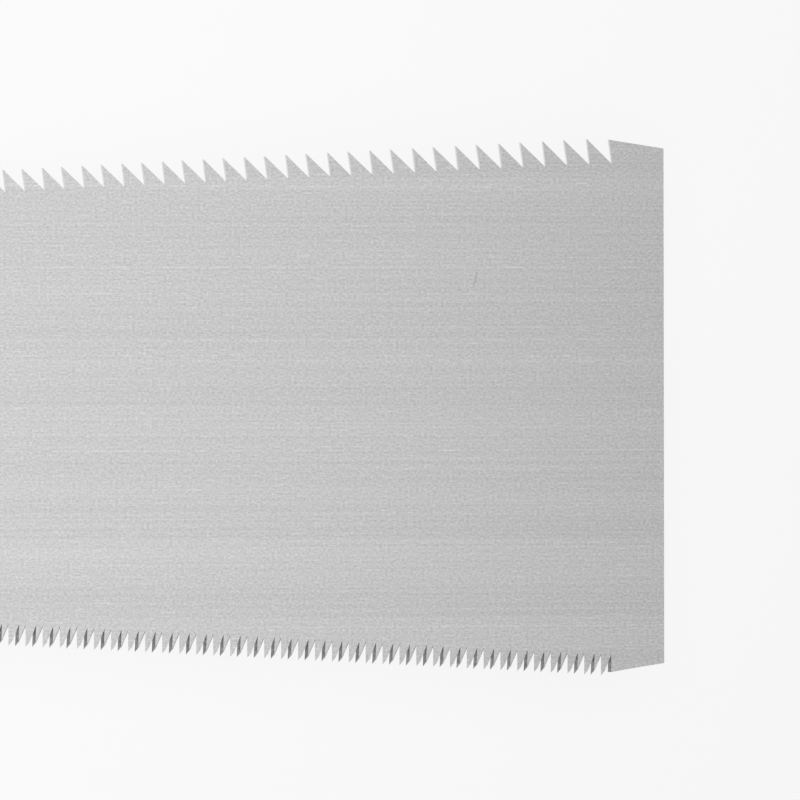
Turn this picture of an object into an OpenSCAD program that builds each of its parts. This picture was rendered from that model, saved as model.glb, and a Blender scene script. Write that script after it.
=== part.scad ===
// Ryoba saw: a pull saw with rip teeth on one edge, crosscut teeth on the other,
// a blade that slides out of a screw clamp, and a two-part wooden handle wrapped in rattan.
// X runs along the saw to its toe, Y across the blade to its rip edge, and Z is normal to the blade.
// The saw lies on its side: the origin is on the surface under it, in the middle of its box.

/* [Blade] */
// Length of the blade from its heel tooth to its toe
blade_l = 240; // [200:1:300]
// Thickness of the saw plate
blade_t = 0.5; // [0.35:0.05:0.9]
// Width between the plate's two edge lines at the heel tooth
heel_w = 62.7; // [56:0.1:76]
// Width between the edge lines at the corners where the toe's blank begins
toe_w = 86.6; // [78:0.1:110]
// Width of the square end of the toe
toe_end_w = 83.8; // [74:0.1:106]
// Length without teeth at the toe
toe_blank = 9.8; // [6:0.1:20]
// Length without teeth at the heel, before the edge turns in
heel_blank = 5; // [3:0.5:12]
// Radius of the heel's outer corner
heel_r = 5; // [3:0.5:8]
// Radius of the hollow shoulder behind the heel
shoulder_r = 18; // [14:0.5:30]
// Width of the tang
tang_w = 23; // [18:0.5:26]
// Straight neck that shows between the shoulder and the holder
neck_l = 3; // [1:0.5:12]
// Length of the tang behind the clamp screw
tang_tail = 17; // [10:0.5:22]
// Cut off the tang's rear corners
tang_chamfer = 2; // [0.5:0.1:4]

/* [Rip teeth] */
// Pitch of the rip teeth at the heel
rip_pitch_heel = 2.8; // [2.2:0.1:3.6]
// Pitch of the rip teeth at the toe
rip_pitch_toe = 4; // [3.7:0.1:5]
// Height of a rip tooth over its pitch
rip_height_ratio = 1.1; // [0.8:0.01:1.2]
// Height of the rip tips over the edge line
rip_proud = 0.3; // [0:0.05:0.6]
// Lean of the cutting edge towards the handle
rip_rake = 5.7; // [0:0.1:12]

/* [Crosscut teeth] */
// Pitch of the crosscut teeth
cross_pitch = 1.5; // [1.3:0.05:2]
// Height of a crosscut tooth
cross_h = 3.5; // [3:0.1:3.6]
// Height of the crosscut tips over the edge line
cross_proud = 0.6; // [0:0.05:0.8]
// Lean of the cutting edge towards the toe
cross_lean = 2; // [0:0.5:4]
// Slope of a tooth's back from the edge's normal
cross_back = 21.5; // [18:0.5:22]
// Slope of the facet at the tip from the edge line
cross_tip_slope = 49; // [40:1:50]
// Depth that the tip facet gains through the plate
cross_tip_bevel = 0.55; // [0.3:0.05:0.8]
// Shift of a gullet along the edge from one face to the other
cross_fleam = 0.36; // [0.15:0.01:0.4]

/* [Tooth set] */
// How far a tooth tip is bent out of the plate
tooth_set = 0.14; // [0.05:0.01:0.25]

/* [Blade holder] */
// Width of the holder's cheeks
holder_w = 30; // [28:0.5:31]
// Length of the holder in front of the handle
holder_out = 46; // [44:0.5:70]
// Radius of the holder's front corners
holder_r = 9; // [4:0.5:12]
// Thickness of a cheek
cheek_t = 1.2; // [0.8:0.1:2]
// Width of the tail in the handle
tail_w = 20; // [14:0.5:22]
// Length of the tail in the handle
tail_l = 44; // [36:0.5:70]
// Play of the blade between the cheeks
slot_play = 0.06; // [0.02:0.01:0.15]
// Play of the tang between the spacer's rails, and at its end
tang_play = 0.15; // [0.05:0.05:0.4]
// Diameter of the rivets
rivet_d = 3; // [2:0.1:4]
// Diameter of a rivet's head
rivet_head_d = 5.6; // [4.5:0.1:7]
// Height of a rivet's head
rivet_head_h = 1.1; // [0.6:0.1:1.6]
// Distance between the rivets across the holder
rivet_gap = 15; // [10:0.5:20]

/* [Clamp screw] */
// Diameter of the screw
screw_d = 5; // [4:0.5:6]
// Distance of the screw from the holder's front
screw_inset = 15; // [10:0.5:20]
// Play of the screw in the blade's fork and in the cheeks, all round
screw_play = 0.2; // [0.1:0.05:0.4]
// Running play of the screw in its nut and washer, all round
thread_play = 0.05; // [0.02:0.01:0.08]
// Diameter of the screw's head
head_d = 10; // [8:0.1:12]
// Height of the screw's head
head_h = 3.4; // [2.5:0.1:5]
// Width of the driver slots in the head
driver_w = 1.2; // [0.8:0.1:1.6]
// Length of the driver slots
driver_l = 5.6; // [4:0.1:7]
// Depth of the driver slots
driver_depth = 1.8; // [1:0.1:2.2]
// Length of the screw past its nut
screw_past = 1.4; // [0.5:0.1:3]
// Diameter of the washer
washer_d = 13; // [11:0.1:16]
// Thickness of the washer
washer_t = 1.1; // [0.6:0.1:1.6]
// Width of the square nut across its flats
nut_w = 9; // [8:0.1:11]
// Height of the nut
nut_h = 4; // [3:0.1:6]

/* [Handle] */
// Length of the handle
handle_l = 318; // [260:1:380]
// Width of the wooden core at its mouth
mouth_w = 29; // [27:0.5:34]
// Width of the wooden core at the rear collar
grip_w = 35; // [34.5:0.5:42]
// Thickness of the wooden core
core_t = 23.6; // [20:0.1:28]
// Length of the bare butt behind the rear collar
butt_l = 30; // [26:0.5:60]
// Width of the butt
butt_w = 37; // [36.5:0.5:44]
// Thickness of the butt
butt_t = 26; // [25:0.1:27.2]
// Rounding of the butt's end
butt_r = 6; // [2:0.5:8]
// Length of the slope from the grip up to the butt
butt_step = 0.6; // [0.6:0.1:3]
// Bevel of the core at its mouth
mouth_bevel = 0.8; // [0.4:0.1:2]
// Radius of the hole that the saw hangs by
hang_r = 3.5; // [2.5:0.1:5]
// Distance of the hanging hole from the end of the butt
hang_inset = 14; // [13.5:0.5:15]
// Play of the holder's tail in its pocket, all round
pocket_play = 0.1; // [0.05:0.05:0.3]
// Diameter of the cross pins through handle and tail
pin_d = 4; // [3:0.1:5]
// Distance of the first cross pin from the mouth
pin_first = 21; // [19:0.5:22]
// Distance between the cross pins
pin_step = 15; // [8:0.5:15]
// Depth of a pin's end under the core's surface
pin_sink = 0.5; // [0.3:0.1:1]
// Play of a pin in the wood and in the tail, all round
pin_play = 0.03; // [0.01:0.01:0.06]

/* [Collars] */
// Length of the front collar
front_collar_l = 15; // [8:0.5:16]
// Length of the rear collar
rear_collar_l = 9; // [6:0.5:16]
// Wall of the collars
collar_wall = 2.1; // [2:0.1:3]
// Depth of the flats that the saw lies on
collar_flat = 0.25; // [0.1:0.05:0.4]
// Play of a collar on the core
collar_play = 0.1; // [0.05:0.05:0.2]

/* [Rattan wrap] */
// Width of the split cane
cane_w = 4.6; // [3:0.1:5]
// Thickness of the split cane
cane_t = 1.2; // [0.8:0.1:1.3]
// Distance from one turn to the next
cane_pitch = 5.2; // [5.1:0.1:7]
// Room between the cane and the core at the corners of its turns
cane_gap = 0.35; // [0.35:0.05:0.4]
// Room between the wrap and the collars
wrap_room = 0.6; // [0.3:0.1:2]

/* [Hidden] */
$fn = 48;
eps = 0.01;

// Roundness of the handle's section: 2 is an ellipse, and more is squarer
oval_power = 2.3;
// Points round a full section, and points on a shoulder's arc
oval_points = 48;
arc_points = 14;
// How far a toothed strip and the plate lap into each other
lap = 1;
// Share of the toe's blank that the toothed strips cover
strip_share = 0.4;
// How late the grip widens: 1 is a straight taper
taper_power = 1.4;
// Sections along the grip, and round the butt's end
grip_steps = 9;
end_steps = 6;
// Shares of the cane's width and thickness at the shoulders of its crown
cane_shoulder = [0.4, 0.62];
// Share of a head's height in its straight rim, for the rivets and the screw
rivet_rim = 0.2;
head_rim = 0.35;
// Share of the screw's diameter in the bevel of its end
screw_point = 0.15;
// Directions of the two driver slots
driver_turns = [45, 135];

// Tooth edges: u runs along the edge line from heel to toe, v points out of the plate
tooth_run = blade_l - toe_blank;
edge_rise = (toe_w - heel_w) / 2;
edge_l = norm([tooth_run, edge_rise]);
flare = atan2(edge_rise, tooth_run);
toe_corner = [blade_l, toe_end_w / 2];
// Depth of the line under the gullets to which the toothed strips reach
root = max(rip_height_ratio * rip_pitch_toe, cross_h) + 2 * lap;

// Rip pitches grow by the same factor from tooth to tooth
rip_pitch_growth = rip_pitch_toe - rip_pitch_heel;
rip_teeth = round(edge_l * ln(rip_pitch_toe / rip_pitch_heel) / rip_pitch_growth);
rip_factor = pow(rip_pitch_toe / rip_pitch_heel, 1 / (rip_teeth - 1));
// An even count leaves the same bevel at both ends of the crosscut edge
cross_teeth = 2 * round(edge_l / cross_pitch / 2);

function edge_point(u, v) =
    [u * cos(flare) - v * sin(flare), heel_w / 2 + u * sin(flare) + v * cos(flare)];
function mirrored(points) = [for (p = points) [p[0], -p[1]]];
function reversed(list) = [for (i = [len(list) - 1:-1:0]) list[i]];
// A face seen from its other side, with the same first corner
function turned(face) = concat([face[0]], [for (i = [len(face) - 1:-1:1]) face[i]]);
function arc(centre, r, from, to) =
    [for (i = [0:arc_points]) let (a = from + (to - from) * i / arc_points)
        centre + r * [cos(a), sin(a)]];

// Rip teeth: square across the plate, so both faces have one outline
function rip_u(k) = edge_l * (pow(rip_factor, k) - 1) / (pow(rip_factor, rip_teeth) - 1);
function rip_h(k) = let (i = max(k, 1)) rip_height_ratio * (rip_u(i) - rip_u(i - 1));
function rip_gullet(k) = [rip_u(k) + rip_h(k) * tan(rip_rake), rip_proud - rip_h(k)];
function rip_tip(k) = [rip_u(k), rip_proud];
// The last cutting edge is the corner where the toe's blank begins
rip_last_tip = [edge_l + rip_proud * tan(rip_rake), 0];

// Crosscut teeth: side 1 is the upper face, -1 the lower, and bevels change face from tooth to tooth
function cross_sense(j) = (cross_teeth - j) % 2 == 0 ? 1 : -1;
function cross_gullet_u(j, side) =
    edge_l * j / cross_teeth + side * cross_sense(j) * cross_fleam / 2;
function cross_gullet(j, side) = [cross_gullet_u(j, side), cross_proud - cross_h];
// The cutting edge is on the face away from the bevels, and its tip sets the facet's line
function cross_edge_tip_u(j) =
    cross_gullet_u(j, -cross_sense(j)) + cross_h * tan(cross_lean);
function cross_facet_top(j, side) =
    cross_h - (side == cross_sense(j) ? cross_tip_bevel : 0);
function cross_tip(j, side) =
    let (u = cross_gullet_u(j, side),
         rise = cross_facet_top(j, side) - (u - cross_edge_tip_u(j)) * tan(cross_tip_slope),
         w = rise / (1 + tan(cross_lean) * tan(cross_tip_slope)))
    [u + w * tan(cross_lean), w + cross_proud - cross_h];
function cross_back_corner(j, side) =
    let (u = cross_gullet_u(j + 1, side),
         rise = cross_facet_top(j, side) - (u - cross_edge_tip_u(j)) * tan(cross_tip_slope),
         w = rise / (1 - tan(cross_back) * tan(cross_tip_slope)))
    [u - w * tan(cross_back), w + cross_proud - cross_h];
// Here too the last cutting edge is the corner of the toe's blank
function cross_last_tip(side) =
    [cross_gullet_u(cross_teeth, side) + (cross_h - cross_proud) * tan(cross_lean), 0];

// Where each toothed strip starts at the heel and ends on the toe's blank
rip_start = edge_point(rip_gullet(0)[0] - heel_blank, rip_gullet(0)[1]);
cross_start = edge_point(cross_gullet_u(0, 1) - heel_blank, cross_proud - cross_h);
blank_corner = edge_point(edge_l, 0);
strip_end = blank_corner + (toe_corner - blank_corner) * strip_share;

// The shoulder: an outward corner at the heel, then a hollow that runs into the tang
function shoulder_corner(start) =
    start - heel_r * [cos(90 + flare), sin(90 + flare)];
function shoulder_turn(start) =
    acos((tang_w / 2 + shoulder_r - shoulder_corner(start)[1]) / (heel_r + shoulder_r));
function shoulder_hollow(start) =
    let (a = 90 + shoulder_turn(start))
    shoulder_corner(start) + (heel_r + shoulder_r) * [cos(a), sin(a)];
function shoulder(start) =
    let (turn = shoulder_turn(start))
    concat(arc(shoulder_corner(start), heel_r, 90 + flare, 90 + turn),
           arc(shoulder_hollow(start), shoulder_r, turn - 90, -90));

// Places along the saw, from the heel's first tooth at x = 0 back to the butt
tang_x = min(shoulder_hollow(rip_start)[0], shoulder_hollow(cross_start)[0]);
holder_x = tang_x - neck_l;
screw_x = holder_x - screw_inset;
tang_end = screw_x - tang_tail;
fork_r = screw_d / 2 + screw_play;
mouth_x = holder_x - holder_out;
rivet_x = (tang_end - tang_play + mouth_x) / 2;
tail_end = mouth_x - tail_l;
butt_x = mouth_x - handle_l;

// Levels across the saw, from the middle of the blade
slot_t = blade_t + slot_play;
stack = slot_t / 2 + cheek_t;
core_a0 = mouth_w / 2;
core_a1 = grip_w / 2;
core_b = core_t / 2;
grip_l = handle_l - butt_l;
collar_b = core_b + collar_play + collar_wall;
rest_h = collar_b - collar_flat;
box_mid = (blade_l + butt_x) / 2;

// Half width of the core at a distance from the mouth
function core_a(s) = core_a0 + (core_a1 - core_a0) * pow(min(s, grip_l) / grip_l, taper_power);
function power(x) = sign(x) * pow(abs(x), 2 / oval_power);
function oval(a, b, t) = [a * power(cos(t)), b * power(sin(t))];

// Rattan: the cane's section is flat inside and crowned outside
wrap_from = front_collar_l + wrap_room + cane_w / 2;
wrap_to = grip_l - rear_collar_l - wrap_room - cane_w / 2;
wrap_turns = floor((wrap_to - wrap_from) / cane_pitch);
wrap_rings = 16;
cane_side = cane_shoulder[0] * cane_w;
cane_rise = cane_shoulder[1] * cane_t;
cane_section = [
    [-cane_w / 2, 0], [-cane_side, cane_rise], [0, cane_t], [cane_side, cane_rise], [cane_w / 2, 0]
];
function cane_ring(i) =
    let (s = wrap_from + (wrap_to - wrap_from) * i / (wrap_turns * wrap_rings),
         t = 360 * i / wrap_rings,
         a = core_a(s) + cane_gap)
    [for (c = cane_section)
        let (p = oval(a + c[1], core_b + cane_gap + c[1], t))
        [mouth_x - s - c[0], p[0], p[1]]];
cane_rings = [for (i = [0:wrap_turns * wrap_rings]) cane_ring(i)];
cane_last = len(cane_section) - 1;
wrap_gap = min([for (i = [0:(wrap_turns - 1) * wrap_rings])
    norm(cane_rings[i][cane_last] - cane_rings[i + wrap_rings][0])]);
echo(wrap_turns = wrap_turns, least_gap_between_turns = wrap_gap);

// Lays the saw on its side with the origin under the middle of its box
module lay() translate([-box_mid, 0, rest_h]) children();

// Solid through a row of rings with the same number of points each
module loft(rings) {
    n = len(rings[0]);
    last = len(rings) - 1;
    points = [for (ring = rings) each ring];
    sides = [for (i = [0:last - 1], k = [0:n - 1])
        let (a = i * n + k, b = i * n + (k + 1) % n)
        each [[a, b, b + n], [a, b + n, a + n]]];
    caps = [[for (k = [0:n - 1]) n - 1 - k], [for (k = [0:n - 1]) last * n + k]];
    polyhedron(points, concat(sides, caps), convexity = 10);
}

// Toothed strip between two outlines, one for each face. An outline is the start, then a gullet,
// a tip and a back corner for each tooth, and at last a gullet, a tip and the end.
// Each outline point is [u, v, bend], and the root points lie under the start, gullets and end.
module toothed_strip(upper, lower, flip) {
    n = len(upper);
    teeth = (n - 4) / 3;
    roots = teeth + 3;
    root_u = concat([upper[0][0] - lap],
        [for (j = [0:teeth]) (upper[1 + 3 * j][0] + lower[1 + 3 * j][0]) / 2],
        [upper[n - 1][0] + lap]);
    function solid_point(p, z) =
        let (q = edge_point(p[0], p[1])) [q[0], flip * q[1], z + p[2]];
    points = concat(
        [for (p = upper) solid_point(p, blade_t / 2)],
        [for (p = lower) solid_point(p, -blade_t / 2)],
        [for (u = root_u) solid_point([u, -root, 0], blade_t / 2)],
        [for (u = root_u) solid_point([u, -root, 0], -blade_t / 2)]);
    r0 = 2 * n;
    under = concat([0], [for (j = [0:teeth]) 1 + 3 * j], [n - 1]);
    face = concat(
        [for (j = [0:teeth - 1]) [1 + 3 * j, 2 + 3 * j, 3 + 3 * j, 4 + 3 * j]],
        [[n - 3, n - 2, n - 1]],
        [for (k = [0:roots - 2]) [r0 + k, under[k], under[k + 1], r0 + k + 1]]);
    function below(i) = i < r0 ? i + n : i + roots;
    // The outline all round: along the teeth, then back along the roots
    ring = concat([for (i = [0:n - 1]) i], [for (k = [0:roots - 1]) r0 + roots - 1 - k]);
    walls = [for (i = [0:len(ring) - 1])
        let (a = ring[i], b = ring[(i + 1) % len(ring)]) [a, below(a), below(b), b]];
    faces = concat(face, [for (f = face) turned([for (i = f) below(i)])], walls);
    polyhedron(points, flip > 0 ? faces : [for (f = faces) turned(f)], convexity = 10);
}

// A tooth that is set to a side bends more, the higher a point is over its gullet
function bent(p, gullet, h, side) = [p[0], p[1], side * tooth_set * (p[1] - gullet[1]) / h];
function flat_point(p) = [p[0], p[1], 0];

// Start and end of a strip in the edge's own u and v
function edge_uv(p) =
    let (d = [p[0], p[1] - heel_w / 2])
    [d[0] * cos(flare) + d[1] * sin(flare), d[1] * cos(flare) - d[0] * sin(flare), 0];

module rip_strip() {
    outline = concat([edge_uv(rip_start)],
        [for (k = [0:rip_teeth - 1])
            let (g = rip_gullet(k), tip = rip_tip(k), next = rip_gullet(k + 1),
                 side = k % 2 == 0 ? 1 : -1,
                 set_tip = bent(tip, g, rip_h(k), side))
            each [flat_point(g), set_tip, (set_tip + flat_point(next)) / 2]],
        [flat_point(rip_gullet(rip_teeth)), flat_point(rip_last_tip), edge_uv(strip_end)]);
    toothed_strip(outline, outline, 1);
}

function cross_outline(side) = concat([edge_uv(cross_start)],
    [for (j = [0:cross_teeth - 1])
        let (g = cross_gullet(j, side), way = -cross_sense(j))
        each [flat_point(g),
              bent(cross_tip(j, side), g, cross_h, way),
              bent(cross_back_corner(j, side), g, cross_h, way)]],
    [flat_point(cross_gullet(cross_teeth, side)), flat_point(cross_last_tip(side)),
     edge_uv(strip_end)]);

module cross_strip() toothed_strip(cross_outline(1), cross_outline(-1), -1);

// Half outline of the plate from the fork to the toe, for the edge that starts at a point
function plate_half(start) =
    let (s = edge_uv(start), e = edge_uv(strip_end))
    concat(
        [[screw_x, fork_r], [tang_end, fork_r], [tang_end, tang_w / 2 - tang_chamfer],
         [tang_end + tang_chamfer, tang_w / 2]],
        reversed(shoulder(start)),
        [edge_point(s[0] + lap, lap - root), edge_point(e[0] - lap, lap - root),
         strip_end, toe_corner]);

module blade() color("lightgray") {
    linear_extrude(blade_t, center = true) difference() {
        polygon(concat(plate_half(rip_start), reversed(mirrored(plate_half(cross_start)))));
        translate([screw_x, 0]) circle(fork_r);
    }
    rip_strip();
    cross_strip();
}

// Outline that the cheeks and the spacer share
module holder_outline() {
    half = holder_w / 2;
    front = arc([holder_x - holder_r, half - holder_r], holder_r, 0, 90);
    outline = concat(front,
        [[mouth_x, half], [mouth_x, tail_w / 2], [tail_end, tail_w / 2]]);
    polygon(concat(outline, reversed(mirrored(outline))));
}

module at_rivets() for (y = [-0.5, 0.5]) translate([rivet_x, y * rivet_gap]) children();
module at_pins() for (k = [0, 1]) translate([mouth_x - pin_first - k * pin_step, 0]) children();

module holder_holes() {
    at_rivets() circle(rivet_d / 2 + pin_play);
    at_pins() circle(pin_d / 2 + pin_play);
}

module cheek() linear_extrude(cheek_t) difference() {
    holder_outline();
    holder_holes();
    translate([screw_x, 0]) circle(screw_d / 2 + screw_play);
}

module holder_cheek_upper() color("gainsboro") translate([0, 0, slot_t / 2]) cheek();
module holder_cheek_lower() color("gainsboro") translate([0, 0, -stack]) cheek();

// Shim as thick as the blade, with a pocket for the tang between its rails
module holder_spacer() color("darkgray") linear_extrude(slot_t, center = true) difference() {
    holder_outline();
    holder_holes();
    translate([tang_end - tang_play, -tang_w / 2 - tang_play])
        square([holder_x - tang_end + 2 * tang_play, tang_w + 2 * tang_play]);
}

// Domed head on z = 0 as a revolved profile
module dome(d, rim, h) {
    r = d / 2;
    rise = h - rim;
    ball = (r * r + rise * rise) / (2 * rise);
    sweep = asin(r / ball);
    profile = [for (i = [0:arc_points]) let (a = sweep * i / arc_points)
        [ball * sin(a), h - ball + ball * cos(a)]];
    rotate_extrude() polygon(concat([[0, 0]], profile, [[r, 0]]));
}

module holder_rivets() color("silver") at_rivets() {
    cylinder(d = rivet_d, h = 2 * stack + 2 * eps, center = true);
    for (way = [0, 1]) mirror([0, 0, way]) translate([0, 0, stack])
        dome(rivet_head_d, rivet_rim * rivet_head_h, rivet_head_h);
}

module clamp_screw() color("silver") translate([screw_x, 0, stack + washer_t]) {
    difference() {
        dome(head_d, head_rim * head_h, head_h);
        for (a = driver_turns) rotate(a)
            translate([-driver_l / 2, -driver_w / 2, head_h - driver_depth])
            cube([driver_l, driver_w, driver_depth + eps]);
    }
    shank_l = washer_t + 2 * stack + nut_h + screw_past;
    bevel = screw_point * screw_d;
    translate([0, 0, -shank_l]) rotate_extrude() polygon([
        [0, 0], [screw_d / 2 - bevel, 0], [screw_d / 2, bevel],
        [screw_d / 2, shank_l + eps], [0, shank_l + eps]
    ]);
}

module clamp_washer() color("silver") translate([screw_x, 0, stack]) difference() {
    cylinder(d = washer_d, h = washer_t);
    translate([0, 0, -eps]) cylinder(r = screw_d / 2 + thread_play, h = washer_t + 2 * eps);
}

// Square nut welded under the lower cheek, with its corners turned off below
module clamp_nut() color("silver") translate([screw_x, 0, -stack - nut_h]) difference() {
    intersection() {
        translate([-nut_w / 2, -nut_w / 2, 0]) cube([nut_w, nut_w, nut_h]);
        cylinder(r1 = nut_w / 2, r2 = nut_w / 2 + nut_h, h = nut_h);
    }
    translate([0, 0, -eps]) cylinder(r = screw_d / 2 + thread_play, h = nut_h + 2 * eps);
}

// Upper half of a section of the handle, from one side over the top to the other
function half_ring(s, a, b) = [for (i = [0:oval_points / 2])
    let (p = oval(a, b, 360 * i / oval_points)) [mouth_x - s, p[0], p[1]]];

// Half of the core: a bevelled mouth, the tapered grip, and the butt with a rounded end
module handle_half() {
    grip = concat([[0, core_a0 - mouth_bevel, core_b - mouth_bevel]],
        [for (i = [0:grip_steps])
            let (s = mouth_bevel + (grip_l - mouth_bevel) * i / grip_steps) [s, core_a(s), core_b]]);
    butt = [for (i = [0:end_steps])
        let (a = 90 * i / end_steps, in = butt_r * (1 - cos(a)))
        [handle_l - butt_r + butt_r * sin(a), butt_w / 2 - in, butt_t / 2 - in]];
    difference() {
        loft([for (r = concat(grip, [[grip_l + butt_step, butt_w / 2, butt_t / 2]], butt))
            half_ring(r[0], r[1], r[2])]);
        translate([tail_end - pocket_play, -tail_w / 2 - pocket_play, -eps])
            cube([tail_l + 2 * pocket_play, tail_w + 2 * pocket_play, stack + pocket_play + eps]);
        at_pins() translate([0, 0, -eps]) cylinder(r = pin_d / 2 + pin_play, h = core_t);
        translate([butt_x + hang_inset, 0, -eps]) cylinder(r = hang_r, h = butt_t);
    }
}

module handle_half_upper() color("burlywood") handle_half();
module handle_half_lower() color("burlywood") mirror([0, 0, 1]) handle_half();

module handle_pins() color("gray") at_pins()
    cylinder(d = pin_d, h = core_t - 2 * pin_sink, center = true);

// Ring round the core from one distance from the mouth to the next, with flats above and below
module collar(from, to) {
    function section(grow) = [for (i = [0:oval_points - 1])
        oval(core_a(to) + grow, core_b + grow, 360 * i / oval_points)];
    translate([mouth_x - from, 0, 0]) rotate([90, 0, -90]) linear_extrude(to - from) difference() {
        polygon([for (p = section(collar_play + collar_wall))
            [-p[0], max(-rest_h, min(rest_h, p[1]))]]);
        polygon([for (p = section(collar_play)) [-p[0], p[1]]]);
    }
}

module front_collar() color("dimgray") collar(0, front_collar_l);
module rear_collar() color("dimgray") collar(grip_l - rear_collar_l, grip_l);
module rattan_wrap() color("wheat") loft(cane_rings);

lay() blade();
lay() holder_cheek_upper();
lay() holder_cheek_lower();
lay() holder_spacer();
lay() holder_rivets();
lay() clamp_screw();
lay() clamp_washer();
lay() clamp_nut();
lay() handle_half_upper();
lay() handle_half_lower();
lay() handle_pins();
lay() front_collar();
lay() rear_collar();
lay() rattan_wrap();
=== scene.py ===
"""Looks of the ryoba saw: its materials, its cane winding, its clamp screw's thread, studio and camera."""

import math

import bmesh
import bpy
from mathutils import Matrix, Vector


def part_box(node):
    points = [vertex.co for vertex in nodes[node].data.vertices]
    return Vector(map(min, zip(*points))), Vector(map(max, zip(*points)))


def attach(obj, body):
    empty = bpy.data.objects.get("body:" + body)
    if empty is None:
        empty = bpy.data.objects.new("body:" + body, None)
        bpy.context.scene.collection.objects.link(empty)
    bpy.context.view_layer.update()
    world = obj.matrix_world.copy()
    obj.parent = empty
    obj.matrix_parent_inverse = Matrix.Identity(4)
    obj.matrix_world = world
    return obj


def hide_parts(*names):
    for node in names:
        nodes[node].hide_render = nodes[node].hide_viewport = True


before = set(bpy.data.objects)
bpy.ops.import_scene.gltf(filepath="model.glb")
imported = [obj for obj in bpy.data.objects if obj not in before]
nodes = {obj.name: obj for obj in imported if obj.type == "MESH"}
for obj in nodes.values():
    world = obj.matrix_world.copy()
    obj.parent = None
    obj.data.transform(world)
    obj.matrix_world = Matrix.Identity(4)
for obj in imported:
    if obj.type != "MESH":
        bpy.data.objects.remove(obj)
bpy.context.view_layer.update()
MM = 0.001

# Camera: far off and turned to the handle's side, so that it sees into the bevels of the crosscut teeth
CAMERA_TURN = math.radians(24.0)
CAMERA_ROLL = math.radians(-0.08)
CAMERA_DISTANCE = 3.447
CAMERA_LENS = 957.6
CAMERA_SENSOR = 36.0
CAMERA_CLIP = (0.1, 200.0)
AIM_FROM_TOE = 46.93 * MM
AIM_ACROSS = 1.0 * MM

# The blade's one hairline scratch: its place, its size, how it leans from the blade's length, and the
# shares of its half length and half width where it starts to fade
SCRATCH_FROM_TOE = 33.6 * MM
SCRATCH_ACROSS = 20.6 * MM
SCRATCH_LENGTH = 2.7 * MM
SCRATCH_WIDTH = 0.15 * MM
SCRATCH_LEAN = math.radians(75.0)
SCRATCH_FADE = (0.6, 0.4)

# The clamp screw's shank, and how far the points of its side may lie from that radius
SHANK_RADIUS = 2.5 * MM
SHANK_SLACK = 0.02 * MM

# Its thread: the rise in one turn, the depth, the shares of that depth along one rise, and the lengths over
# which it runs out below the head and at the end
THREAD_PITCH = 0.8 * MM
THREAD_DEPTH = 0.45 * MM
THREAD_PROFILE = (0, 0, 1 / 3, 2 / 3, 1, 1, 2 / 3, 1 / 3)
THREAD_FADE_HEAD = 0.8 * MM
THREAD_FADE_END = 0.2 * MM

# Softened edges of the solids: widths of their bevels, rows of faces in each, and the least crease that
# gets one
SHEET_BEVEL = 0.15 * MM
RIVET_BEVEL = 0.08 * MM
WASHER_BEVEL = 0.2 * MM
COLLAR_BEVEL = 0.5 * MM
BEVEL_ROWS = 2
BEVEL_ANGLE = math.radians(35.0)

# Rounding of the fastenings' edges in their shading
FASTENER_ROUND = 0.15 * MM

# How far wear reaches from an edge, and the cosines of a rounded normal's lean where wear is full and
# where it ends
SHEET_WEAR = 0.3 * MM
FASTENER_WEAR = 0.2 * MM
COLLAR_WEAR = 0.9 * MM
WEAR_COSINES = (0.85, 0.99)

# Points of a solid closer than this become one, and facets are shaded smooth up to this crease
WELD_DISTANCE = 0.002 * MM
SMOOTH_ANGLE = math.radians(28.0)

# Shift to the pith of the handle's wood, below and beside the handle, and a scale with rings 2 mm apart
PITH_SHIFT = (0.0, 0.016, 0.021)
RING_SCALE = 150.0

# The floor: half its side, the share of plain white in what the eye sees of it, and a painted fall-off of
# light to a light grey, which runs along x less a share of y
FLOOR_HALF = 40.0
FLOOR_GLOW = 0.88
FLOOR_PAINTED_FALLOFF_GREY = 0.955
FLOOR_PAINTED_FALLOFF = (0.17, 0.37)
FLOOR_PAINTED_FALLOFF_LEAN = 0.5

# Greys of the room, each with the sine of its height over the horizon
ROOM_GREYS = ((0.025, 0.94), (0.05, 0.3), (1.0, 0.4))

# Lamps: name, place, target, size and radiance
LAMPS = (
    ("overhead_panel", (0.04, 0.0, 0.9), (0.04, 0.0, 0.0), (1.34, 1.6), 0.78),
    ("key", (-0.9, 0.2, 2.4), (0.1, 0.0, 0.0), (0.7, 0.7), 4.0),
)

# The wooden core under the winding, as in the solids
CORE_MOUTH_HALF = 14.5 * MM
CORE_REAR_HALF = 17.5 * MM
CORE_HALF_THICK = 11.8 * MM
CORE_POWER = 2.3
GRIP_BUTT = 30.0 * MM
TAPER_POWER = 1.4

# The split cane: its section and how square that is, its lift off the core, and the points of its mesh
CANE_WIDTH = 5.0 * MM
CANE_THICK = 1.25 * MM
CANE_CROWN_POWER = 4
CANE_LIFT = 0.12 * MM
CANE_TURNS = 49
CANE_RINGS = 56
CANE_POINTS = 9

# Its ends: room at the collars, width of the tips, and the share of the full width where they are full thick
CANE_ROOM = 0.25 * MM
CANE_TIP = 0.3 * MM
CANE_FULL_SHARE = 0.4

# Waves of its wander along the handle, each with its size, rate and start, and the spacing of its joints
CANE_WANDER = ((0.12 * MM, 0.37, 0.0), (0.1 * MM, 0.83, 1.0))
CANE_JOINT_SPACING = 283.0 * MM


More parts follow.
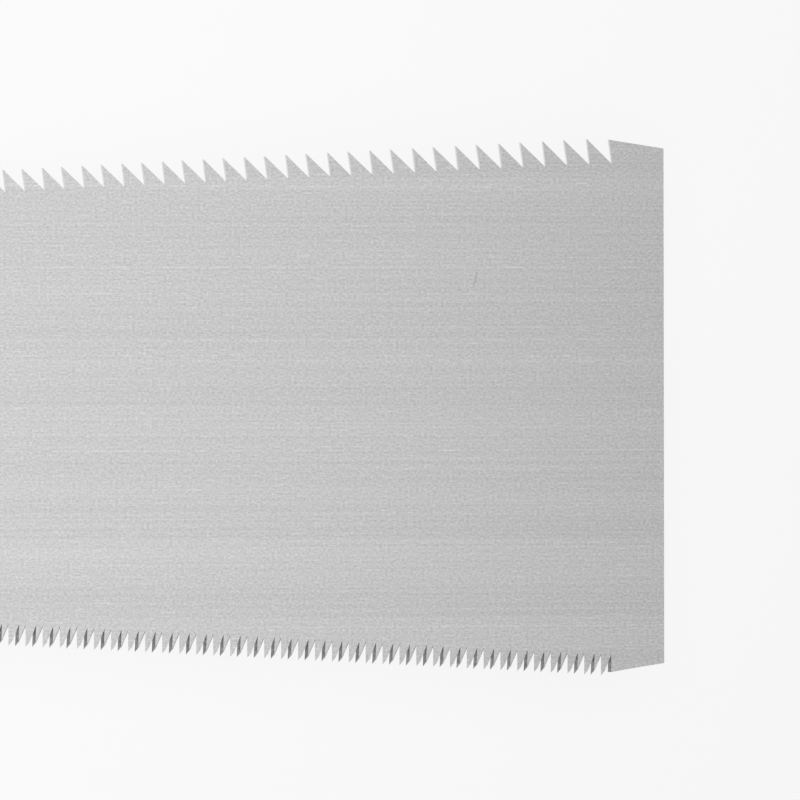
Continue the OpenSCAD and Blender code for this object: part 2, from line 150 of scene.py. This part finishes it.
class Graph:
    """Shader nodes of one material, with short calls for the kinds used here."""

    def __init__(self, name):
        self.material = bpy.data.materials.new(name)
        self.material.use_nodes = True
        self.tree = self.material.node_tree
        self.shader = self.tree.nodes["Principled BSDF"]

    def link(self, output, socket):
        self.tree.links.new(output, socket)

    def add(self, kind, **settings):
        node = self.tree.nodes.new(kind)
        for key, value in settings.items():
            setattr(node, key, value)
        return node

    def place(self, scale, source="Object", shift=(0.0, 0.0, 0.0)):
        """Coordinates of the part in metres, scaled along each axis and shifted."""
        coord = self.add("ShaderNodeTexCoord")
        mapping = self.add("ShaderNodeMapping")
        mapping.inputs["Scale"].default_value = scale
        mapping.inputs["Location"].default_value = shift
        self.link(coord.outputs[source], mapping.inputs["Vector"])
        return mapping.outputs["Vector"]

    def hairline(self, middle, lean, length, width):
        """1 along the middle of a fine straight scratch, falling to 0 at its sides and ends."""
        mapping = self.add("ShaderNodeMapping", vector_type="TEXTURE")
        mapping.inputs["Location"].default_value = middle
        mapping.inputs["Rotation"].default_value = (0.0, 0.0, lean)
        mapping.inputs["Scale"].default_value = (length / 2, width / 2, 1.0)
        self.link(self.add("ShaderNodeTexCoord").outputs["Object"], mapping.inputs["Vector"])
        along, across = self.parts(mapping.outputs["Vector"])[:2]
        ends = self.spread(self.math("ABSOLUTE", along), 1.0, 0.0, SCRATCH_FADE[0], 1.0)
        sides = self.spread(self.math("ABSOLUTE", across), 1.0, 0.0, SCRATCH_FADE[1], 1.0)
        return self.math("MULTIPLY", ends, sides)

    def noise(self, where, detail, rough=0.5):
        """Noise from 0 to 1, with one cell to each unit of its coordinates."""
        node = self.add("ShaderNodeTexNoise")
        node.inputs["Scale"].default_value = 1.0
        node.inputs["Detail"].default_value = detail
        node.inputs["Roughness"].default_value = rough
        self.link(where, node.inputs["Vector"])
        return node.outputs["Fac"]

    def ramp(self, value, *stops):
        """Colours picked by a value, each stop with its position and colour."""
        node = self.add("ShaderNodeValToRGB")
        elements = node.color_ramp.elements
        while len(elements) < len(stops):
            elements.new(0.5)
        for element, (position, color) in zip(elements, stops):
            element.position = position
            element.color = (*color, 1.0)
        self.link(value, node.inputs["Fac"])
        return node.outputs["Color"]

    def spread(self, value, low, high, start=0.0, end=1.0):
        """Maps a value from start..end to low..high."""
        node = self.add("ShaderNodeMapRange")
        node.inputs["From Min"].default_value = start
        node.inputs["From Max"].default_value = end
        node.inputs["To Min"].default_value = low
        node.inputs["To Max"].default_value = high
        self.link(value, node.inputs["Value"])
        return node.outputs["Result"]

    def math(self, operation, a, b=0.0):
        """One step of arithmetic on one or two values, each a number or another node's output."""
        node = self.add("ShaderNodeMath", operation=operation)
        for socket, value in zip(node.inputs, (a, b)):
            if isinstance(value, (int, float)):
                socket.default_value = value
            else:
                self.link(value, socket)
        return node.outputs["Value"]

    def mix(self, factor, a, b):
        """Colour a where the factor is 0 and colour b where it is 1."""
        node = self.add("ShaderNodeMix", data_type="RGBA")
        for name, value in (("Factor_Float", factor), ("A_Color", a), ("B_Color", b)):
            socket = next(s for s in node.inputs if s.identifier == name)
            if isinstance(value, tuple):
                socket.default_value = (*value, 1.0)
            else:
                self.link(value, socket)
        return next(s for s in node.outputs if s.identifier == "Result_Color")

    def parts(self, vector):
        """The X, Y and Z of a vector."""
        node = self.add("ShaderNodeSeparateXYZ")
        self.link(vector, node.inputs["Vector"])
        return node.outputs["X"], node.outputs["Y"], node.outputs["Z"]

    def soft_normal(self, radius):
        """The surface's normal with its sharp edges rounded to a radius."""
        node = self.add("ShaderNodeBevel")
        node.inputs["Radius"].default_value = radius
        return node.outputs["Normal"]

    def edge_wear(self, radius):
        """0 on open faces, rising to 1 within a radius of a sharp edge."""
        geometry = self.add("ShaderNodeNewGeometry")
        node = self.add("ShaderNodeVectorMath", operation="DOT_PRODUCT")
        self.link(self.soft_normal(radius), node.inputs[0])
        self.link(geometry.outputs["True Normal"], node.inputs[1])
        return self.spread(node.outputs["Value"], 1.0, 0.0, *WEAR_COSINES)

    def bump(self, height, distance, strength, normal=None):
        """Relief on the surface, or on a normal that is given."""
        node = self.add("ShaderNodeBump")
        node.inputs["Distance"].default_value = distance
        node.inputs["Strength"].default_value = strength
        self.link(height, node.inputs["Height"])
        if normal:
            self.link(normal, node.inputs["Normal"])
        self.link(node.outputs["Normal"], self.shader.inputs["Normal"])

    def color(self, output):
        self.link(output, self.shader.inputs["Base Color"])

    def roughness(self, output):
        self.link(output, self.shader.inputs["Roughness"])

    def set(self, **values):
        """Sets the shader's own sockets, with _ for the spaces in their names."""
        for key, value in values.items():
            self.shader.inputs[key.replace("_", " ")].default_value = value


def plate_tilt(graph):
    """How squarely a face looks along the plate's normal: 1 on its flats, 0 on its square edges."""
    geometry = graph.add("ShaderNodeNewGeometry")
    return graph.math("ABSOLUTE", graph.parts(geometry.outputs["True Normal"])[2])


def blade_steel():
    """Thin saw plate: satin grain, polish lines and dashes along the blade, and painted shade on its filed
    bevels.
    """
    g = Graph("blade_steel")
    g.set(Metallic=1.0)
    grain = g.noise(g.place((2000, 3000, 1)), detail=2.0, rough=0.75)
    lines = g.noise(g.place((6, 2600, 1)), detail=2.0, rough=0.6)
    bands = g.noise(g.place((2, 160, 1)), detail=3.0)
    dashes = g.noise(g.place((260, 3300, 1)), detail=1.0)
    rows = g.noise(g.place((1.5, 1900, 1)), detail=0.0)
    ticks = g.noise(g.place((330, 1900, 1)), detail=1.0)
    pits = g.noise(g.place((760, 900, 1)), detail=0.0)
    strung = g.math("MULTIPLY", g.spread(rows, 0.0, 1.0, 0.7, 0.8), g.spread(ticks, 0.0, 0.2, 0.48, 0.62))
    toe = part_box("blade")[1][0]
    middle = (toe - SCRATCH_FROM_TOE, SCRATCH_ACROSS, 0.0)
    scratch = g.hairline(middle, SCRATCH_LEAN, SCRATCH_LENGTH, SCRATCH_WIDTH)
    tone = g.math("ADD", g.spread(grain, -0.05, 1.05), g.spread(lines, -0.16, 0.16))
    tone = g.math("ADD", tone, g.spread(bands, -0.11, 0.11))
    tone = g.math("ADD", tone, g.spread(dashes, 0.0, 0.2, 0.62, 0.8))
    tone = g.math("ADD", tone, strung)
    tone = g.math("SUBTRACT", tone, g.spread(pits, 0.0, 0.2, 0.86, 0.93))
    tone = g.math("SUBTRACT", tone, scratch)
    dark = (0.37, 0.37, 0.37)
    light = (0.88, 0.88, 0.88)
    face = g.ramp(tone, (0.0, dark), (1.0, light))
    grit = g.noise(g.place((1800, 1800, 1800)), detail=1.0)
    # Painted shade: faces turned from the plate, the filed bevels, take darker colours than the flats;
    # square edges take a light steel
    painted_shade_bevel_deep = (0.32, 0.32, 0.335)
    painted_shade_bevel_pale = (0.56, 0.56, 0.575)
    bevel = g.ramp(grit, (0.3, painted_shade_bevel_deep), (0.7, painted_shade_bevel_pale))
    tilt = plate_tilt(g)
    square_edge = (0.8, 0.8, 0.8)
    edge = g.mix(g.spread(tilt, 0.0, 1.0, 0.2, 0.4), square_edge, bevel)
    flat = g.spread(tilt, 0.0, 1.0, 0.9, 0.97)
    g.color(g.mix(flat, edge, face))
    g.roughness(g.math("ADD", g.spread(lines, 0.25, 0.35), g.spread(flat, 0.12, 0.0)))
    g.bump(lines, distance=0.004 * MM, strength=0.5)
    return g.material


def holder_steel():
    """Pressed sheet: brushed along the saw, with dull cut edges and rubbed corners."""
    g = Graph("holder_steel")
    g.set(Metallic=1.0)
    lines = g.noise(g.place((60, 3500, 60)), detail=3.0, rough=0.65)
    stain = g.noise(g.place((90, 90, 90)), detail=4.0)
    dark = (0.5, 0.505, 0.51)
    light = (0.66, 0.665, 0.67)
    stained = (0.42, 0.42, 0.42)
    cut_edge = (0.34, 0.34, 0.345)
    bare = (0.8, 0.8, 0.805)
    face = g.ramp(lines, (0.3, dark), (0.7, light))
    worn = g.mix(g.spread(stain, 0.0, 0.35, 0.45, 0.75), face, stained)
    flat = g.spread(plate_tilt(g), 0.0, 1.0, 0.93, 0.985)
    rubbed = g.math("MULTIPLY", g.edge_wear(SHEET_WEAR), g.spread(stain, 0.2, 0.9, 0.4, 0.6))
    g.color(g.mix(rubbed, g.mix(flat, cut_edge, worn), bare))
    g.roughness(g.spread(lines, 0.3, 0.46))
    g.bump(lines, distance=0.01 * MM, strength=0.5)
    return g.material


def fastener_steel():
    """Zinc plating: a little mottled, brighter than the holder, with rounded and rubbed edges."""
    g = Graph("fastener_steel")
    g.set(Metallic=1.0)
    mottle = g.noise(g.place((420, 420, 420)), detail=5.0, rough=0.65)
    grain = g.noise(g.place((3200, 3200, 3200)), detail=2.0)
    dark = (0.58, 0.585, 0.58)
    light = (0.76, 0.765, 0.77)
    bare = (0.9, 0.9, 0.9)
    plating = g.ramp(mottle, (0.3, dark), (0.7, light))
    rubbed = g.math("MULTIPLY", g.edge_wear(FASTENER_WEAR), g.spread(mottle, 0.2, 0.9, 0.4, 0.6))
    g.color(g.mix(rubbed, plating, bare))
    g.roughness(g.spread(mottle, 0.22, 0.4))
    g.bump(grain, distance=0.008 * MM, strength=0.4, normal=g.soft_normal(FASTENER_ROUND))
    return g.material


def core_wood():
    """Bare straight-grained wood: growth rings round a pith beside the handle, and fine pores."""
    g = Graph("core_wood")
    rings = g.add("ShaderNodeTexWave", wave_type="RINGS", rings_direction="X")
    rings.inputs["Scale"].default_value = RING_SCALE
    rings.inputs["Distortion"].default_value = 2.4
    rings.inputs["Detail"].default_value = 2.0
    rings.inputs["Detail Scale"].default_value = 0.6
    g.link(g.place((0.05, 1, 1), shift=PITH_SHIFT), rings.inputs["Vector"])
    fibre = g.noise(g.place((40, 1800, 1800)), detail=3.0, rough=0.6)
    tint = g.noise(g.place((9, 24, 24)), detail=2.0)
    early = (0.74, 0.545, 0.335)
    middle = (0.7, 0.505, 0.3)
    late = (0.58, 0.385, 0.205)
    pore = (0.46, 0.29, 0.15)
    redder = (0.7, 0.46, 0.26)
    grain = g.ramp(rings.outputs["Fac"], (0.0, early), (0.62, middle), (0.95, late))
    pores = g.mix(g.spread(fibre, 0.0, 0.45, 0.52, 0.75), grain, pore)
    g.color(g.mix(g.spread(tint, 0.0, 0.3, 0.35, 0.7), pores, redder))
    g.roughness(g.spread(fibre, 0.5, 0.7))
    g.bump(fibre, distance=0.04 * MM, strength=0.6)
    return g.material


def collar_plastic():
    """Moulded black plastic with a fine spark texture and rubbed edges."""
    g = Graph("collar_plastic")
    spark = g.noise(g.place((1500, 1500, 1500)), detail=2.0)
    wear = g.noise(g.place((120, 120, 120)), detail=4.0)
    black = (0.018, 0.018, 0.02)
    faded = (0.034, 0.034, 0.036)
    scuffed = (0.22, 0.22, 0.225)
    moulded = g.ramp(wear, (0.35, black), (0.7, faded))
    rubbed = g.math("MULTIPLY", g.edge_wear(COLLAR_WEAR), g.spread(wear, 0.2, 1.0, 0.4, 0.6))
    g.color(g.mix(rubbed, moulded, scuffed))
    g.roughness(g.math("SUBTRACT", g.spread(wear, 0.42, 0.58), g.spread(rubbed, 0.0, 0.14)))
    g.bump(spark, distance=0.03 * MM, strength=0.6)
    return g.material


def cane():
    """Split rattan: glossy skin with fibres along the strand, pale and brown stretches, dark joints, painted
    shade at its sides.
    """
    g = Graph("rattan")
    fibre = g.noise(g.place((110, 7000, 1), "UV"), detail=3.0, rough=0.65)
    stretch = g.noise(g.place((14, 60, 1), "UV"), detail=3.0)
    turn = g.noise(g.place((4.2, 0, 0), "UV"), detail=1.0)
    along, across = g.parts(g.place((1, 1, 1), "UV"))[:2]
    deep = (0.5, 0.33, 0.14)
    straw = (0.63, 0.45, 0.22)
    pale = (0.72, 0.55, 0.31)
    brown = (0.42, 0.25, 0.1)
    fibre_dark = (0.33, 0.2, 0.08)
    joint_dark = (0.23, 0.13, 0.055)
    # Painted shade for the strand's sides, where the turns meet
    painted_side_shade = (0.2, 0.115, 0.045)
    skin = g.ramp(stretch, (0.3, deep), (0.5, straw), (0.7, pale))
    varied = g.mix(g.spread(turn, 0.0, 0.6, 0.45, 0.7), skin, brown)
    lines = g.mix(g.spread(fibre, 0.0, 0.6, 0.48, 0.72), varied, fibre_dark)
    share = g.math("FRACT", g.math("DIVIDE", along, CANE_JOINT_SPACING))
    joint = g.spread(g.math("ABSOLUTE", g.math("SUBTRACT", share, 0.5)), 0.8, 0.0, 0.002, 0.008)
    jointed = g.mix(joint, lines, joint_dark)
    # Painted shade: the strand darkens towards its sides, where the turns meet
    side_shade_mask = g.spread(g.math("ABSOLUTE", across), 0.0, 0.75, 0.72 * CANE_WIDTH / 2, CANE_WIDTH / 2)
    g.color(g.mix(side_shade_mask, jointed, painted_side_shade))
    g.roughness(g.spread(fibre, 0.3, 0.5))
    g.set(Coat_Weight=0.25, Coat_Roughness=0.22)
    g.bump(fibre, distance=0.06 * MM, strength=0.6)
    return g.material


def smooth_facets():
    """Modifier nodes that weld a solid's facets and shade them smooth up to the crease angle."""
    group = bpy.data.node_groups.new("smooth_facets", "GeometryNodeTree")
    for way in ("INPUT", "OUTPUT"):
        group.interface.new_socket("Geometry", in_out=way, socket_type="NodeSocketGeometry")
    source = group.nodes.new("NodeGroupInput")
    weld = group.nodes.new("GeometryNodeMergeByDistance")
    weld.inputs["Distance"].default_value = WELD_DISTANCE
    crease = group.nodes.new("GeometryNodeInputMeshEdgeAngle")
    sharp = group.nodes.new("FunctionNodeCompare")
    sharp.inputs["B"].default_value = SMOOTH_ANGLE
    shade = group.nodes.new("GeometryNodeSetMeshNormal")
    shade.inputs["Remove Custom"].default_value = True
    result = group.nodes.new("NodeGroupOutput")
    group.links.new(source.outputs["Geometry"], weld.inputs["Geometry"])
    group.links.new(weld.outputs["Geometry"], shade.inputs["Mesh"])
    group.links.new(crease.outputs["Unsigned Angle"], sharp.inputs["A"])
    group.links.new(sharp.outputs["Result"], shade.inputs["Edge Sharpness"])
    group.links.new(shade.outputs["Mesh"], result.inputs["Geometry"])
    return group


def dress(name, material, smooth=None, bevel=0.0):
    """Gives a solid its material and, where asked, smooth shading and softened edges."""
    obj = nodes[name]
    for slot in obj.material_slots:
        slot.material = material
    if smooth:
        obj.modifiers.new("smooth_facets", "NODES").node_group = smooth
    if bevel:
        edge = obj.modifiers.new("soft_edges", "BEVEL")
        edge.width = bevel
        edge.segments = BEVEL_ROWS
        edge.limit_method = "ANGLE"
        edge.angle_limit = BEVEL_ANGLE
        edge.harden_normals = True
        edge.loop_slide = False
        edge.use_clamp_overlap = False


def cut_thread(shape, middle):
    """Replaces the plain side of an upright shank by a right-hand thread, cut inwards from it.

    Each row of points climbs one pitch in a turn, and what would pass the rims lies on them and is welded.
    """

    def on_side(vertex):
        return abs((vertex.co.xy - middle.xy).length - SHANK_RADIUS) < SHANK_SLACK

    side = [face for face in shape.faces if all(on_side(vertex) for vertex in face.verts)]
    rims = [vertex for vertex in shape.verts if on_side(vertex)]
    bottom = min(vertex.co.z for vertex in rims)
    top = max(vertex.co.z for vertex in rims)
    lower_rim = [vertex.co.xy for vertex in rims if vertex.co.z < (bottom + top) / 2]
    axis = sum(lower_rim, Vector((0.0, 0.0))) / len(lower_rim)
    spokes = [point - axis for point in lower_rim]
    spokes.sort(key=lambda spoke: math.atan2(-spoke.x, spoke.y))
    bmesh.ops.delete(shape, geom=side, context="FACES")
    steps = len(THREAD_PROFILE)
    step = THREAD_PITCH / steps
    rows = math.ceil((top - bottom) / step) + steps
    columns = []
    for j in range(len(spokes) + 1):
        spoke = spokes[j % len(spokes)]
        lag = steps * (1 - j / len(spokes))
        column = []
        for k in range(rows + 1):
            z = min(max(bottom + step * (k - lag), bottom), top)
            fade = min(1.0, (top - z) / THREAD_FADE_HEAD, (z - bottom) / THREAD_FADE_END)
            cut = THREAD_DEPTH * THREAD_PROFILE[k % steps] * fade
            place = axis + spoke * (1 - cut / SHANK_RADIUS)
            column.append(shape.verts.new((*place, z)))
        columns.append(column)
    for left, right in zip(columns, columns[1:]):
        for k in range(rows):
            shape.faces.new((left[k], right[k], right[k + 1], left[k + 1]))
    bmesh.ops.remove_doubles(shape, verts=shape.verts, dist=WELD_DISTANCE)


def threaded_screw(material, smooth):
    """The clamp screw as in the solids, with a thread on its shank."""
    low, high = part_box("clamp_screw")
    shape = bmesh.new()
    shape.from_mesh(nodes["clamp_screw"].data)
    bmesh.ops.remove_doubles(shape, verts=shape.verts, dist=WELD_DISTANCE)
    cut_thread(shape, (Vector(low) + Vector(high)) / 2)
    mesh = bpy.data.meshes.new("threaded_screw")
    shape.to_mesh(mesh)
    shape.free()
    mesh.materials.append(material)
    obj = bpy.data.objects.new("threaded_screw", mesh)
    obj.modifiers.new("smooth_facets", "NODES").node_group = smooth
    bpy.context.scene.collection.objects.link(obj)
    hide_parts("clamp_screw")
    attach(obj, "screw")


def core_half_width(distance, grip):
    """Half the core's width at a distance from its mouth, along a grip of the given length."""
    share = min(max(distance / grip, 0.0), 1.0)
    return CORE_MOUTH_HALF + (CORE_REAR_HALF - CORE_MOUTH_HALF) * share**TAPER_POWER


def oval(half_width, half_thick, turn):
    """Point of the core's squarish oval at an angle."""

    def power(x):
        return math.copysign(abs(x) ** (2 / CORE_POWER), x)

    return half_width * power(math.cos(turn)), half_thick * power(math.sin(turn))


def cane_winding(material):
    """One strand wound from collar to collar, crowned outside, its ends tapered along the collars."""
    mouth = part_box("handle_half_upper")[1][0]
    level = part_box("handle_half_upper")[0][2]
    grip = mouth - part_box("handle_half_upper")[0][0] - GRIP_BUTT
    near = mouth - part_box("front_collar")[0][0] + CANE_ROOM
    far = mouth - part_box("rear_collar")[1][0] - CANE_ROOM
    pitch = (far - near - CANE_WIDTH) / CANE_TURNS
    taper = int(CANE_RINGS * (CANE_WIDTH - CANE_TIP) / pitch)
    section = []
    for i in range(CANE_POINTS):
        across = 2 * i / (CANE_POINTS - 1) - 1
        section.append((across, CANE_THICK * math.sqrt(max(0.0, 1 - across**CANE_CROWN_POWER))))
    points = []
    lengths = []
    length = 0.0
    last = None
    for i in range(-taper, CANE_TURNS * CANE_RINGS + taper + 1):
        turn = i / CANE_RINGS
        angle = 2 * math.pi * turn
        inner = min(1.0, max(0.0, turn), max(0.0, CANE_TURNS - turn))
        wander = inner * sum(size * math.sin(angle * rate + start) for size, rate, start in CANE_WANDER)
        low = max(near, near + pitch * turn + wander)
        high = min(far, near + pitch * turn + wander + CANE_WIDTH)
        centre = (low + high) / 2
        half = (high - low) / 2
        rise = min(1.0, 2 * half / (CANE_FULL_SHARE * CANE_WIDTH))
        width = core_half_width(centre, grip) + CANE_LIFT
        for across, height in section:
            y, z = oval(width + height * rise, CORE_HALF_THICK + CANE_LIFT + height * rise, angle)
            points.append((mouth - centre - across * half, y, level + z))
        crown = Vector(points[-1 - CANE_POINTS // 2])
        length += (crown - last).length if last else 0.0
        last = crown
        lengths.append(length)
    count = len(lengths) - 1
    faces = []
    for i in range(count):
        for k in range(CANE_POINTS):
            a = i * CANE_POINTS + k
            b = i * CANE_POINTS + (k + 1) % CANE_POINTS
            faces.append((a, b, b + CANE_POINTS, a + CANE_POINTS))
    faces.append(tuple(reversed(range(CANE_POINTS))))
    faces.append(tuple(range(count * CANE_POINTS, (count + 1) * CANE_POINTS)))
    mesh = bpy.data.meshes.new("cane_winding")
    mesh.from_pydata(points, [], faces)
    mesh.validate()
    layer = mesh.uv_layers.new(name="strand")
    for loop in mesh.loops:
        ring, k = divmod(loop.vertex_index, CANE_POINTS)
        layer.data[loop.index].uv = (lengths[ring], section[k][0] * CANE_WIDTH / 2)
    for polygon in mesh.polygons:
        polygon.use_smooth = len(polygon.vertices) == 4
    mesh.materials.append(material)
    obj = bpy.data.objects.new("cane_winding", mesh)
    bpy.context.scene.collection.objects.link(obj)
    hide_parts("rattan_wrap")
    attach(obj, "handle")


def make_floor():
    """Pale floor that stays white to the eye, greys with a painted fall-off of light, and still takes the
    saw's shadow.
    """
    g = Graph("floor")
    g.set(Base_Color=(0.9, 0.9, 0.9, 1.0), Roughness=0.9)
    path = g.add("ShaderNodeLightPath")
    seen = g.math("MAXIMUM", path.outputs["Is Camera Ray"], path.outputs["Is Glossy Ray"])
    seen = g.math("MAXIMUM", seen, path.outputs["Is Transmission Ray"])
    x, y = g.parts(g.place((1, 1, 1)))[:2]
    # Painted light: the floor's glow falls off to a light grey along x less a share of y
    painted_falloff = g.math("SUBTRACT", x, g.math("MULTIPLY", y, FLOOR_PAINTED_FALLOFF_LEAN))
    white = (1.0, 1.0, 1.0)
    grey = (FLOOR_PAINTED_FALLOFF_GREY, FLOOR_PAINTED_FALLOFF_GREY, FLOOR_PAINTED_FALLOFF_GREY)
    glow = g.add("ShaderNodeEmission")
    g.link(g.ramp(g.spread(painted_falloff, 0.0, 1.0, *FLOOR_PAINTED_FALLOFF), (0.0, white), (1.0, grey)), glow.inputs["Color"])
    blend = g.add("ShaderNodeMixShader")
    g.link(g.math("MULTIPLY", seen, FLOOR_GLOW), blend.inputs["Fac"])
    g.link(g.shader.outputs["BSDF"], blend.inputs[1])
    g.link(glow.outputs["Emission"], blend.inputs[2])
    g.link(blend.outputs["Shader"], g.tree.nodes["Material Output"].inputs["Surface"])
    corners = [(FLOOR_HALF * x, FLOOR_HALF * y, 0.0) for x, y in ((-1, -1), (1, -1), (1, 1), (-1, 1))]
    mesh = bpy.data.meshes.new("floor")
    mesh.from_pydata(corners, [], [(0, 1, 2, 3)])
    mesh.materials.append(g.material)
    obj = bpy.data.objects.new("floor", mesh)
    bpy.context.scene.collection.objects.link(obj)


def area_light(name, place, target, size, radiance):
    """Soft lamp of the given radiance that faces its target."""
    lamp = bpy.data.lights.new(name, "AREA")
    lamp.shape = "RECTANGLE"
    lamp.size, lamp.size_y = size
    lamp.energy = radiance * math.pi * size[0] * size[1]
    obj = bpy.data.objects.new(name, lamp)
    obj.location = place
    obj.rotation_euler = (Vector(target) - Vector(place)).to_track_quat("-Z", "Y").to_euler()
    bpy.context.scene.collection.objects.link(obj)
    obj.visible_camera = False


def make_world():
    """Grey room, a little lighter overhead, above a low pale strip along the horizon."""
    world = bpy.data.worlds.new("studio")
    world.use_nodes = True
    tree = world.node_tree
    coord = tree.nodes.new("ShaderNodeTexCoord")
    parts = tree.nodes.new("ShaderNodeSeparateXYZ")
    ramp = tree.nodes.new("ShaderNodeValToRGB")
    tree.links.new(coord.outputs["Generated"], parts.inputs["Vector"])
    tree.links.new(parts.outputs["Z"], ramp.inputs["Fac"])
    tree.links.new(ramp.outputs["Color"], tree.nodes["Background"].inputs["Color"])
    elements = ramp.color_ramp.elements
    elements.new(0.5)
    for element, (height, grey) in zip(elements, ROOM_GREYS):
        element.position = height
        element.color = (grey, grey, grey, 1.0)
    bpy.context.scene.world = world


def make_camera():
    """Long lens that looks at the toe half of the blade."""
    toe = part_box("blade")[1]
    aim = Vector((toe[0] - AIM_FROM_TOE, AIM_ACROSS, (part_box("blade")[0][2] + toe[2]) / 2))
    back = Vector((-math.sin(CAMERA_TURN), 0.0, math.cos(CAMERA_TURN)))
    data = bpy.data.cameras.new("camera")
    data.lens = CAMERA_LENS
    data.sensor_width = CAMERA_SENSOR
    data.clip_start, data.clip_end = CAMERA_CLIP
    obj = bpy.data.objects.new("camera", data)
    turn = Matrix.Rotation(-CAMERA_TURN, 4, "Y") @ Matrix.Rotation(CAMERA_ROLL, 4, "Z")
    obj.matrix_world = Matrix.Translation(aim + back * CAMERA_DISTANCE) @ turn
    bpy.context.scene.collection.objects.link(obj)
    bpy.context.scene.camera = obj


fasteners = fastener_steel()
sheet = holder_steel()
wood = core_wood()
plastic = collar_plastic()
smooth = smooth_facets()
dress("blade", blade_steel())
for name in ("holder_cheek_upper", "holder_cheek_lower", "holder_spacer"):
    dress(name, sheet, smooth, SHEET_BEVEL)
threaded_screw(fasteners, smooth)
for name in ("clamp_nut", "handle_pins"):
    dress(name, fasteners, smooth)
dress("holder_rivets", fasteners, smooth, RIVET_BEVEL)
dress("clamp_washer", fasteners, smooth, WASHER_BEVEL)
for name in ("handle_half_upper", "handle_half_lower"):
    dress(name, wood, smooth)
for name in ("front_collar", "rear_collar"):
    dress(name, plastic, smooth, COLLAR_BEVEL)
cane_winding(cane())

make_floor()
make_world()
for lamp in LAMPS:
    area_light(*lamp)
make_camera()
bpy.context.scene.view_settings.view_transform = "Standard"
